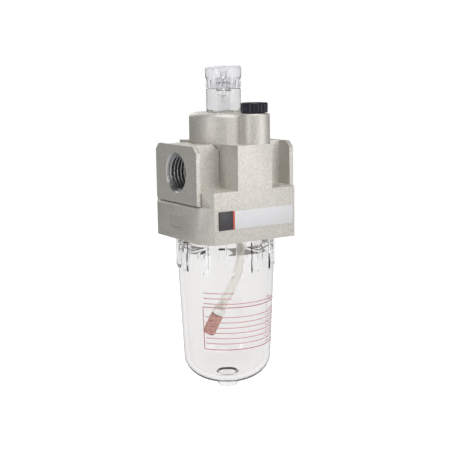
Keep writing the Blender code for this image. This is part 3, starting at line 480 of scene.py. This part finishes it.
def make_bowl(material):
    """Clear bowl: threaded neck, ribbed collar, tapered wall, dished floor, nub."""
    top = box_of("bowl")[1].z
    bottom = box_of("bowl")[0].z
    collar_top = BODY_BOTTOM - GAP
    neck, neck_bore = 15.4 * mm, 13.2 * mm
    thread_turns, thread_pitch = 3, 2.2               # the pitch in millimetres
    collar, thick = 17.9 * mm, 1.7 * mm
    dish_bottom, floor = -77.0 * mm, -75.2 * mm
    nub, nub_foot = 4.3 * mm, 2.4 * mm
    sump, sump_depth = 3.3 * mm, 1.8 * mm
    dish_steps = 20

    def dish(radius, low):
        points = []
        for step in range(dish_steps + 1):
            turn = math.pi / 2 * step / dish_steps
            points.append((nub + (radius - nub) * math.cos(turn),
                           BOWL_FOOT_HEIGHT + (low - BOWL_FOOT_HEIGHT) * math.sin(turn)))
        return points

    inner = [(0, floor - sump_depth), (sump * 0.7, floor - sump_depth),
             (sump, floor - sump_depth + 0.7 * mm)]
    inner += arc((sump + 0.8 * mm, floor - 0.8 * mm), 0.8 * mm, 180, 90, 4)
    inner += list(reversed(dish(BOWL_FOOT - thick, floor)))
    inner += [(BOWL_WALL - thick, COLLAR_BOTTOM),
              (BOWL_WALL - thick - 0.3 * mm, collar_top - 5.0 * mm),
              (neck_bore + 0.4 * mm, collar_top - 2.6 * mm), (neck_bore, collar_top - 1.8 * mm)]
    inner += arc((neck_bore + 0.4 * mm, top - 0.4 * mm), 0.4 * mm, 180, 90, 3)
    outer = arc((neck - 0.5 * mm, top - 0.5 * mm), 0.5 * mm, 90, 0, 4)
    for turn in range(thread_turns):
        height = top - (1.2 + thread_pitch * turn) * mm
        outer += [(neck, height), (neck - 0.55 * mm, height - 0.5 * mm),
                  (neck - 0.55 * mm, height - 1.1 * mm), (neck, height - 1.6 * mm)]
    outer += [(neck, collar_top), (BOWL_WALL - 0.3 * mm, collar_top),
              (BOWL_WALL, collar_top - 0.3 * mm)]
    rib_rows = [collar_top - 0.75 * mm, -27.5 * mm, -30.5 * mm, COLLAR_BOTTOM + 1.0 * mm]
    outer += [(BOWL_WALL, height)
              for height in (collar_top - 0.35 * mm, *rib_rows, COLLAR_BOTTOM,
                             COLLAR_BOTTOM - 0.15 * mm)]
    outer += dish(BOWL_FOOT, dish_bottom)
    outer += [(nub - 0.1 * mm, dish_bottom - 0.7 * mm), (nub - 0.4 * mm, dish_bottom - 1.5 * mm),
              (nub - 0.75 * mm, bottom + 0.6 * mm), (nub - 1.1 * mm, bottom + 0.2 * mm),
              (nub_foot, bottom), (0, bottom)]

    rib_count = 12
    rib_step = math.radians(30)
    rib_phase = math.radians(3)
    rib_half = math.radians(4.8)
    rib_side = math.radians(0.45)
    # Facet angles from the middle of a rib, in degrees, closest at its two sides
    facets = [-15, -12, -9, -6.5, -4.8, -4.35, -2.2, 0, 2.2, 4.35, 4.8, 6.5, 9, 12]
    turns = [rib_phase + rib_step * rib + math.radians(angle) for rib in range(rib_count)
             for angle in facets]

    def ribs(turn, radius, height):
        if radius != BOWL_WALL or height not in rib_rows:
            return radius
        off = abs((turn - rib_phase + rib_step / 2) % rib_step - rib_step / 2)
        rise = min(max((rib_half - off) / rib_side, 0.0), 1.0)
        return radius + (collar - radius) * rise

    bowl = turned("bowl_clear", inner + outer, material, turns, ribs, smooth_angle=28)
    bowl.visible_shadow = False
    stand_for(bowl, "bowl", "clear_plastic", "bowl")


def print_on_bowl(frame_ink, rule_ink):
    """A plain frame with plain rules on the front of the bowl."""
    lift, thick = 0.02 * mm, 0.05 * mm

    def surface(height):
        """The radius of the bowl's tapered wall."""
        return BOWL_WALL + ((BOWL_FOOT - BOWL_WALL) * (COLLAR_BOTTOM - height)
                            / (COLLAR_BOTTOM - BOWL_FOOT_HEIGHT))

    def stroke(shape, start, stop, low, high):
        """A flat strip between two angles and two heights."""
        steps = max(1, int(abs(stop - start) / math.radians(2.5)))
        turns = [start + (stop - start) * step / steps for step in range(steps + 1)]
        layers = []
        for extra in (lift, lift + thick):
            rows = []
            for height in (low, high):
                radius = surface(height) + extra
                rows.append([shape.verts.new((radius * math.cos(turn), radius * math.sin(turn),
                                              height)) for turn in turns])
            layers.append(rows)
        (inner_low, inner_high), (outer_low, outer_high) = layers
        for step in range(steps):
            ahead = step + 1
            shape.faces.new((outer_low[step], outer_low[ahead], outer_high[ahead], outer_high[step]))
            shape.faces.new((inner_low[step], inner_high[step], inner_high[ahead], inner_low[ahead]))
            shape.faces.new((inner_low[step], inner_low[ahead], outer_low[ahead], outer_low[step]))
            shape.faces.new((inner_high[step], outer_high[step], outer_high[ahead], inner_high[ahead]))
        for step in (0, steps):
            shape.faces.new((inner_low[step], outer_low[step], outer_high[step], inner_high[step]))

    frame_lines, rules = bmesh.new(), bmesh.new()
    facing = 237.7                                    # the side towards the camera, in degrees
    left, right = math.radians(facing - 30), math.radians(facing + 100)
    top, bottom = -46.7 * mm, -62.3 * mm
    line, rule = 0.28 * mm, 0.30 * mm
    side = line / surface(top)
    upright = (bottom + line * 1.05, top - line * 1.05)
    stroke(frame_lines, left, right, top - line, top)
    stroke(frame_lines, left, right, bottom, bottom + line)
    stroke(frame_lines, left, left + side, *upright)
    stroke(frame_lines, right - side, right, *upright)
    inset = math.radians(3)
    for height, stop in ((-41.6 * mm, 9), (-43.5 * mm, 6), (-45.4 * mm, 78)):
        stroke(rules, left + inset / 2, math.radians(facing + stop), height - rule, height)
    first_row, row_pitch, row_count = -50.2 * mm, 1.92 * mm, 6
    for row in range(row_count):
        height = first_row - row * row_pitch
        stroke(rules, left + inset, right - inset, height - rule, height)
    for name, shape, ink in (("bowl_print_frame", frame_lines, frame_ink),
                             ("bowl_print_rules", rules, rule_ink)):
        stand_for(finish_mesh(name, shape, ink), "bowl", "white_print")


def make_o_ring(name, node, body, material):
    """A fine ring in place of its plain solid."""
    low, high = box_of(node)
    section = (high.z - low.z) / 2 / math.cos(math.radians(30))   # the solid's is a hexagon
    centre = (low + high) / 2
    radius = (high.x - low.x) / 2 - section
    outline = arc((radius, centre.z), section, 0, 345, 15)
    ring = turned(name, outline, material, SMALL_ROUND, centre=(centre.x, centre.y))
    stand_for(ring, body, "black_rubber", node)


def make_dome(material):
    """The clear drip chamber with the neck for the knob."""
    low, high = box_of("sight_dome")
    radius, bore = 6.06 * mm, 2.6 * mm
    shoulder, ceiling = 28.3 * mm, 28.0 * mm
    hole, step, tip, neck = 1.1 * mm, 30.5 * mm, 1.9 * mm, 2.6 * mm
    outline = [(bore, low.z), (bore, ceiling - 1.2 * mm)]
    outline += arc((bore - 1.1 * mm, ceiling - 1.1 * mm), 1.1 * mm, 0, 90, 6)
    outline += [(hole, ceiling), (hole, high.z - 0.1 * mm), (hole + 0.1 * mm, high.z),
                (tip - 0.15 * mm, high.z), (tip, high.z - 0.15 * mm), (tip, step),
                (neck - 0.15 * mm, step), (neck, step - 0.15 * mm), (neck, shoulder + 0.3 * mm),
                (neck + 0.3 * mm, shoulder)]
    outline += arc((radius - 0.35 * mm, shoulder - 0.35 * mm), 0.35 * mm, 90, 0, 5)
    outline += [(radius, low.z + 0.3 * mm), (radius - 0.3 * mm, low.z)]
    dome = turned("sight_dome_clear", outline, material, SMALL_ROUND)
    dome.visible_shadow = False
    stand_for(dome, "body", "clear_plastic", "sight_dome")


def make_knob(material):
    """The clear knob with a fluted lower part and a rounded crown."""
    low, high = box_of("adjusting_knob")
    radius, cavity = 6.3 * mm, 2.9 * mm
    ceiling, socket_top, socket = 32.5 * mm, 34.3 * mm, 0.95 * mm
    flutes, depth, flute_power = 16, 0.30 * mm, 0.7
    flute_top = 32.5 * mm
    outline = [(0, socket_top), (socket, socket_top), (socket, ceiling),
               (cavity - 0.4 * mm, ceiling)]
    outline += arc((cavity - 0.4 * mm, ceiling - 0.4 * mm), 0.4 * mm, 90, 0, 5)[1:]
    outline += [(cavity, low.z), (radius - 0.4 * mm, low.z), (radius - 0.1 * mm, low.z + 0.12 * mm),
                (radius, low.z + 0.4 * mm), (radius, flute_top - 0.5 * mm), (radius, flute_top)]
    outline += arc((radius - 0.8 * mm, high.z - 0.8 * mm), 0.8 * mm, 0, 90, 7)
    outline += [(0, high.z)]

    def flute(turn, reach, height):
        if reach < radius - 0.45 * mm or height > flute_top - 0.1 * mm:
            return reach
        wave = 0.5 - 0.5 * math.cos(flutes * turn)
        return reach - depth * wave ** flute_power

    knob = turned("adjusting_knob_clear", outline, material, FACETS_PER_FLUTE * flutes, flute)
    knob.visible_shadow = False
    stand_for(knob, "knob", "clear_plastic", "adjusting_knob")


def make_filler_plug(material):
    """Black plug: fluted rim, shallow dish in the crown, threaded stem below."""
    low, high = box_of("filler_plug")
    centre = (3.45 * mm, -14.1 * mm)
    radius, stem = 4.66 * mm, 2.4 * mm
    head = high.z - 3.35 * mm
    flutes, depth, flute_power = 20, 0.42 * mm, 2.2
    thread_turns, thread_pitch = 5, 1.25              # the pitch in millimetres
    outline = [(0, high.z - 0.25 * mm), (radius - 1.3 * mm, high.z - 0.25 * mm),
               (radius - 1.05 * mm, high.z)]
    outline += arc((radius - 0.45 * mm, high.z - 0.45 * mm), 0.45 * mm, 90, 0, 4)
    outline += [(radius, head + 0.2 * mm), (radius - 0.2 * mm, head), (stem, head)]
    for turn in range(thread_turns):
        height = head - (1.0 + thread_pitch * turn) * mm
        outline += [(stem, height), (stem - 0.35 * mm, height - 0.3 * mm),
                    (stem - 0.35 * mm, height - 0.6 * mm), (stem, height - 0.9 * mm)]
    outline += [(stem, low.z + 0.35 * mm), (stem - 0.35 * mm, low.z), (0, low.z)]

    def flute(turn, reach, height):
        if reach < radius - 0.3 * mm or height > high.z - 0.3 * mm or height < head - 0.1 * mm:
            return reach
        wave = 0.5 - 0.5 * math.cos(flutes * turn)
        return reach - depth * wave ** flute_power

    plug = turned("filler_plug_black", outline, material, FACETS_PER_FLUTE * flutes, flute, centre)
    stand_for(plug, "plug", "black_plastic", "filler_plug")


def make_nameplate(white, dark, red):
    """A bare plate: white ground, dark end field and a thin red stripe."""
    low, high = box_of("nameplate")
    front, back = low.y, BODY_FRONT - 0.02 * mm
    stripe_left, stripe_right = -9.4 * mm, -8.75 * mm
    fields = (("nameplate_white", stripe_right, high.x, white),
              ("nameplate_stripe", stripe_left, stripe_right, red),
              ("nameplate_dark", low.x, stripe_left, dark))
    for name, start, stop, material in fields:
        shape = bmesh.new()
        made = bmesh.ops.create_cube(shape, size=1.0)
        for vert in made["verts"]:
            vert.co = Vector(((start + stop) / 2 + vert.co.x * (stop - start),
                              (front + back) / 2 + vert.co.y * (back - front),
                              (low.z + high.z) / 2 + vert.co.z * (high.z - low.z)))
        rims = [edge for edge in shape.edges
                if all(vert.co.y < (front + back) / 2 for vert in edge.verts)]
        bmesh.ops.bevel(shape, geom=rims, offset=0.05 * mm, segments=2, profile=0.5, affect="EDGES")
        field = finish_mesh(name, shape, material)
        nodes = ("nameplate",) if name == "nameplate_white" else ()
        stand_for(field, "body", "white_print", *nodes)


def tube_place(offset, height):
    """A point in the upright plane that the siphon tube hangs in."""
    return Vector((offset * math.cos(TUBE_AZIMUTH), offset * math.sin(TUBE_AZIMUTH), height))


def make_siphon(material):
    """The siphon tube, a smooth curve through knots of (offset, height)."""
    high = box_of("siphon_tube")[1]
    lead_in, lead_out, steps = 6 * mm, 4 * mm, 8
    knots = [(TUBE_OFFSET, high.z), (TUBE_OFFSET, -26.0 * mm), (TUBE_OFFSET, -32.0 * mm),
             (4.2 * mm, -37.8 * mm), (1.7 * mm, -43.4 * mm), (-0.25 * mm, -47.0 * mm), TUBE_END]
    lead = (TUBE_END[0] - lead_out * math.sin(TUBE_LEAN),
            TUBE_END[1] - lead_out * math.cos(TUBE_LEAN))
    padded_knots = [(TUBE_OFFSET, high.z + lead_in)] + knots + [lead]
    route = []
    for index in range(1, len(knots)):
        p0, p1, p2, p3 = [Vector(knot) for knot in padded_knots[index - 1:index + 3]]
        for step in range(steps):
            t = step / steps
            point = 0.5 * (2 * p1 + (p2 - p0) * t + (2 * p0 - 5 * p1 + 4 * p2 - p3) * t ** 2
                           + (3 * p1 - p0 - 3 * p2 + p3) * t ** 3)
            route.append(tube_place(point.x, point.y))
    route.append(tube_place(*TUBE_END))
    tube = swept("siphon_tube_cream", route, (1.6 * mm, 1.1 * mm), material, 32)
    stand_for(tube, "body", "cream_tube", "siphon_tube")


def make_strainer(white, bronze):
    """The holder in the tube's end and the sintered strainer, in line with the tube."""
    reach, length = 2.35 * mm, 7.8 * mm
    top = -3.0 * mm
    spigot, shoulder = 0.7 * mm, 1.95 * mm
    holder_outline = [(0, 2.4 * mm), (0.6 * mm, 2.4 * mm), (spigot, 2.3 * mm),
                      (spigot, -0.3 * mm), (shoulder, -0.3 * mm)]
    holder_outline += arc((shoulder, -0.7 * mm), 0.4 * mm, 90, 0, 4)
    holder_outline += [(reach, -2.6 * mm), (2.25 * mm, -2.7 * mm), (0, -2.7 * mm)]

    strainer_outline = [(0, top), (reach - 0.3 * mm, top)]
    strainer_outline += arc((reach - 0.3 * mm, top - 0.3 * mm), 0.3 * mm, 90, 0, 3)
    rows = 40
    start, stop = top - 0.45 * mm, top - length + 0.85 * mm
    strainer_outline += [(reach, start + (stop - start) * row / rows) for row in range(rows + 1)]
    strainer_outline += arc((reach - 0.7 * mm, top - length + 0.7 * mm), 0.7 * mm, 0, -80, 6)
    strainer_outline += [(0.8 * mm, top - length), (0, top - length)]
    grain_size, grain_depth = 0.55 * mm, 0.16 * mm

    def grains(turn, radius, height):
        if radius < reach * 0.8:
            return radius
        spot = Vector((radius * math.cos(turn), radius * math.sin(turn), height)) / grain_size
        return radius - grain_depth * min(max(0.5 + 0.9 * noise.noise(spot), 0.0), 1.0)

    holder = turned("strainer_holder_white", holder_outline, white, 64)
    strainer = turned("strainer_bronze", strainer_outline, bronze, SMALL_ROUND, grains)
    for piece, slot, node in ((holder, "white_plastic", "strainer_holder"),
                              (strainer, "sintered_bronze", "strainer")):
        piece.rotation_euler = (0, TUBE_LEAN, TUBE_AZIMUTH)
        piece.location = tube_place(*TUBE_END)
        stand_for(piece, "body", slot, node)


def make_fitting(material):
    """The barbed fitting inside the top of the siphon tube."""
    low, high = box_of("tube_fitting")
    collar_top = -17.7 * mm
    collar_low = collar_top - 1.0 * mm
    plug, collar, stem, barb = 1.2 * mm, 2.2 * mm, 0.7 * mm, 0.95 * mm
    barb_count, barb_length = 3, 1.25 * mm
    barb_pitch = 1.6                                  # in millimetres
    outline = [(0, high.z), (plug, high.z), (plug, collar_top), (collar - 0.2 * mm, collar_top),
               (collar, collar_top - 0.2 * mm), (collar, collar_low + 0.2 * mm),
               (collar - 0.2 * mm, collar_low), (stem, collar_low)]
    for row in range(barb_count, 0, -1):
        height = low.z + row * barb_pitch * mm
        outline += [(stem, height), (barb, height), (stem, height - barb_length)]
    outline += [(stem, low.z), (0, low.z)]
    centre = tube_place(TUBE_OFFSET, 0)
    fitting = turned("tube_fitting_white", outline, material, 64, centre=(centre.x, centre.y))
    stand_for(fitting, "body", "white_plastic", "tube_fitting")


def dress(node, material):
    """Give a solid of the frame its material."""
    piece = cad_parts[node]
    piece.data.materials.clear()
    piece.data.materials.append(material)


# -------------------------------------------------------------------- stage

def make_camera():
    data = bpy.data.cameras.new("camera")
    data.sensor_width = 36.0
    data.lens = FOCAL_PIXELS / PHOTO * data.sensor_width
    data.shift_x = SHIFT_PIXELS / PHOTO
    data.clip_start, data.clip_end = 0.01, 20.0
    camera = bpy.data.objects.new("camera", data)
    bpy.context.scene.collection.objects.link(camera)
    camera.location = (-CAMERA_DISTANCE * math.sin(CAMERA_AZIMUTH),
                       -CAMERA_DISTANCE * math.cos(CAMERA_AZIMUTH), CAMERA_HEIGHT)
    ahead = Vector((math.sin(CAMERA_AZIMUTH) * math.cos(CAMERA_PITCH),
                    math.cos(CAMERA_AZIMUTH) * math.cos(CAMERA_PITCH), -math.sin(CAMERA_PITCH)))
    turn = ahead.to_track_quat("-Z", "Y")
    camera.rotation_mode = "QUATERNION"
    camera.rotation_quaternion = turn @ Quaternion((0, 0, 1), CAMERA_ROLL)
    bpy.context.scene.camera = camera


def panel(name, azimuth, elevation, distance, width, height, power):
    """A soft box; azimuth 0 stands before the front and 90 at the right."""
    data = bpy.data.lights.new(name, "AREA")
    data.shape = "RECTANGLE"
    data.size, data.size_y = width, height
    data.energy = power
    light = bpy.data.objects.new(name, data)
    bpy.context.scene.collection.objects.link(light)
    a, e = math.radians(azimuth), math.radians(elevation)
    light.location = PANEL_AIM + distance * Vector(
        (math.sin(a) * math.cos(e), -math.cos(a) * math.cos(e), math.sin(e)))
    light.rotation_mode = "QUATERNION"
    light.rotation_quaternion = (PANEL_AIM - light.location).to_track_quat("-Z", "Y")
    return light


def ramp(tree, source, start, stop, low, high):
    """A smooth change from low to high while the source goes from start to stop."""
    node = tree.nodes.new("ShaderNodeMapRange")
    node.interpolation_type = "SMOOTHSTEP"
    for socket, value in (("From Min", start), ("From Max", stop), ("To Min", low),
                          ("To Max", high)):
        node.inputs[socket].default_value = value
    tree.links.new(source, node.inputs["Value"])
    return node.outputs["Result"]


def choose(tree, ray, chosen, other):
    """One value for a kind of ray and another for all the rest."""
    path = tree.nodes.new("ShaderNodeLightPath")
    mix = tree.nodes.new("ShaderNodeMix")
    mix.data_type = "FLOAT"
    tree.links.new(path.outputs[ray], mix.inputs["Factor"])
    for socket, value in ((mix.inputs["A"], other), (mix.inputs["B"], chosen)):
        if isinstance(value, float):
            socket.default_value = value
        else:
            tree.links.new(value, socket)
    return mix.outputs["Result"]


def make_world():
    """A white backdrop in a toned room: to the eye it is white all round.

    Rays through glass see white behind the object and grey at its sides, and
    every other ray sees the dim tone that the reflections need.
    """
    world = bpy.data.worlds.new("studio")
    bpy.context.scene.world = world
    world.use_nodes = True
    tree = world.node_tree
    place = tree.nodes.new("ShaderNodeTexCoord")
    facing = tree.nodes.new("ShaderNodeVectorMath")
    facing.operation = "DOT_PRODUCT"
    behind = math.radians(BACKDROP_AZIMUTH)
    facing.inputs[1].default_value = (math.sin(behind), -math.cos(behind), 0.0)
    tree.links.new(place.outputs["Generated"], facing.inputs[0])
    backdrop = ramp(tree, facing.outputs["Value"], 0.0, 0.7, GLASS_SIDE, 1.0)
    tone = choose(tree, "Is Transmission Ray", backdrop, ROOM_TONE)
    tree.links.new(choose(tree, "Is Camera Ray", 1.0, tone), tree.nodes["Background"].inputs["Color"])


def make_floor():
    """A floor well below the hanging object.

    It is white to the camera and pale through glass.  Every other ray sees it
    grey, lighter before the object than behind it.
    """
    half_width, height = 3.0, CAD_BOX[0].z - 60 * mm
    near, far = -20 * mm, 70 * mm
    shape = bmesh.new()
    shape.faces.new([shape.verts.new((x * half_width, y * half_width, height))
                     for x, y in ((-1, -1), (1, -1), (1, 1), (-1, 1))])
    look = Look("pale_floor", (0.3, 0.3, 0.3), 0.9)
    look.to(look.mix(look.noise(40 * mm), (0.31, 0.31, 0.31), (0.29, 0.29, 0.29)), "Base Color")
    ahead = look.add("ShaderNodeVectorMath", operation="DOT_PRODUCT")
    ahead.inputs[1].default_value = (math.sin(CAMERA_AZIMUTH), math.cos(CAMERA_AZIMUTH), 0.0)
    look.feed(look.place, ahead.inputs[0])
    tree = look.material.node_tree
    grey = ramp(tree, ahead.outputs["Value"], near, far, FLOOR_NEAR, FLOOR_FAR)
    tone = choose(tree, "Is Transmission Ray", FLOOR_THROUGH_GLASS, grey)
    look.set("Emission Color", (1, 1, 1, 1))
    look.to(choose(tree, "Is Camera Ray", 1.0, tone), "Emission Strength")
    floor = finish_mesh("floor", shape, look.material)


# -------------------------------------------------------------------- build

def main():
    make_camera()
    make_world()
    make_floor()

    # Azimuth and elevation in degrees, distance, width and height in metres, watts
    panel("key", 32, 12, 0.70, 0.56, 0.65, 0.95)
    panel("front", -10, 38, 0.80, 0.50, 0.40, 1.75)
    panel("low_front", 22, 10, 0.80, 0.44, 0.50, 0.88)
    panel("left", -76, 10, 0.70, 0.18, 0.65, 1.12)
    back = panel("back", 172, 28, 0.80, 0.60, 0.50, 1.8)
    back.visible_transmission = False                 # it would show as white spots in the knob
    panel("top", -20, 76, 0.80, 0.50, 0.50, 2.7)

    dome_tint, knob_tint = (0.865, 0.865, 0.870), (0.79, 0.79, 0.82)
    clear = clear_plastic("clear_bowl", (0.920, 0.917, 0.914), (0.896, 0.882, 0.877), 0.015, 1.43)
    clear_dome = clear_plastic("clear_dome", dome_tint, dome_tint, 0.015, 1.40)
    clear_knob = clear_plastic("clear_knob", knob_tint, knob_tint, 0.07, 1.50)
    rubber = moulded("black_rubber", (0.02, 0.02, 0.02), 0.6)
    pale_rubber = moulded("pale_rubber", (0.50, 0.50, 0.51), 0.45)
    white = moulded("white_acetal", (0.80, 0.80, 0.77), 0.42)
    black = moulded("black_plastic", (0.013, 0.011, 0.024), 0.36)
    steel = turned_metal("steel", (0.60, 0.60, 0.60), 0.28)
    brass = turned_metal("brass", (0.72, 0.52, 0.25), 0.28)
    # Machined thread metal, its base colour darkened below the bores' bare metal as painted shade
    # inside the ports.
    thread = turned_metal("thread_metal_painted_shade", (0.42, 0.42, 0.43), 0.38)
    tube = moulded("cream_tube", (1.0, 0.995, 0.96), 0.45, 1.0 * mm, 0.01 * mm, (0.99, 1.0),
                   Transmission_Weight=0.88, IOR=1.2)
    plate = {"size": 0.4 * mm, "height": 0.004 * mm, "mottle": (0.985, 1.01)}
    plate_white = moulded("plate_white", (0.74, 0.735, 0.75), 0.42, **plate)
    plate_dark = moulded("plate_dark", (0.045, 0.042, 0.048), 0.35, **plate)
    plate_red = moulded("plate_red", (0.62, 0.08, 0.05), 0.4, **plate)
    ink = moulded("red_ink", (0.50, 0.12, 0.14), 0.5, 0.3 * mm, 0.004 * mm)
    pale_ink = moulded("pale_red_ink", (0.68, 0.33, 0.35), 0.5, 0.3 * mm, 0.004 * mm)

    make_casting(cast_paint())
    make_bowl(clear)
    print_on_bowl(ink, pale_ink)
    make_o_ring("bowl_ring_round", "bowl_o_ring", "bowl_drop", rubber)
    make_dome(clear_dome)
    make_knob(clear_knob)
    make_port_threads(thread)
    make_filler_plug(black)
    make_o_ring("plug_ring_round", "filler_plug_o_ring", "plug_lift", rubber)
    make_o_ring("needle_ring_round", "needle_o_ring", "knob_lift", pale_rubber)
    make_nameplate(plate_white, plate_dark, plate_red)
    make_siphon(tube)
    make_strainer(white, sintered("sintered_bronze"))
    make_fitting(white)
    for node in ("drip_nozzle", "needle_valve", "damper_retainer"):
        dress(node, white)
    for node in ("dome_gasket", "retainer_seal", "damper_flap"):
        dress(node, rubber)
    for node in ("retainer_screw_left", "retainer_screw_right", "check_ball"):
        dress(node, steel)
    dress("check_seat", brass)
    bpy.context.scene.view_settings.view_transform = "Standard"


main()
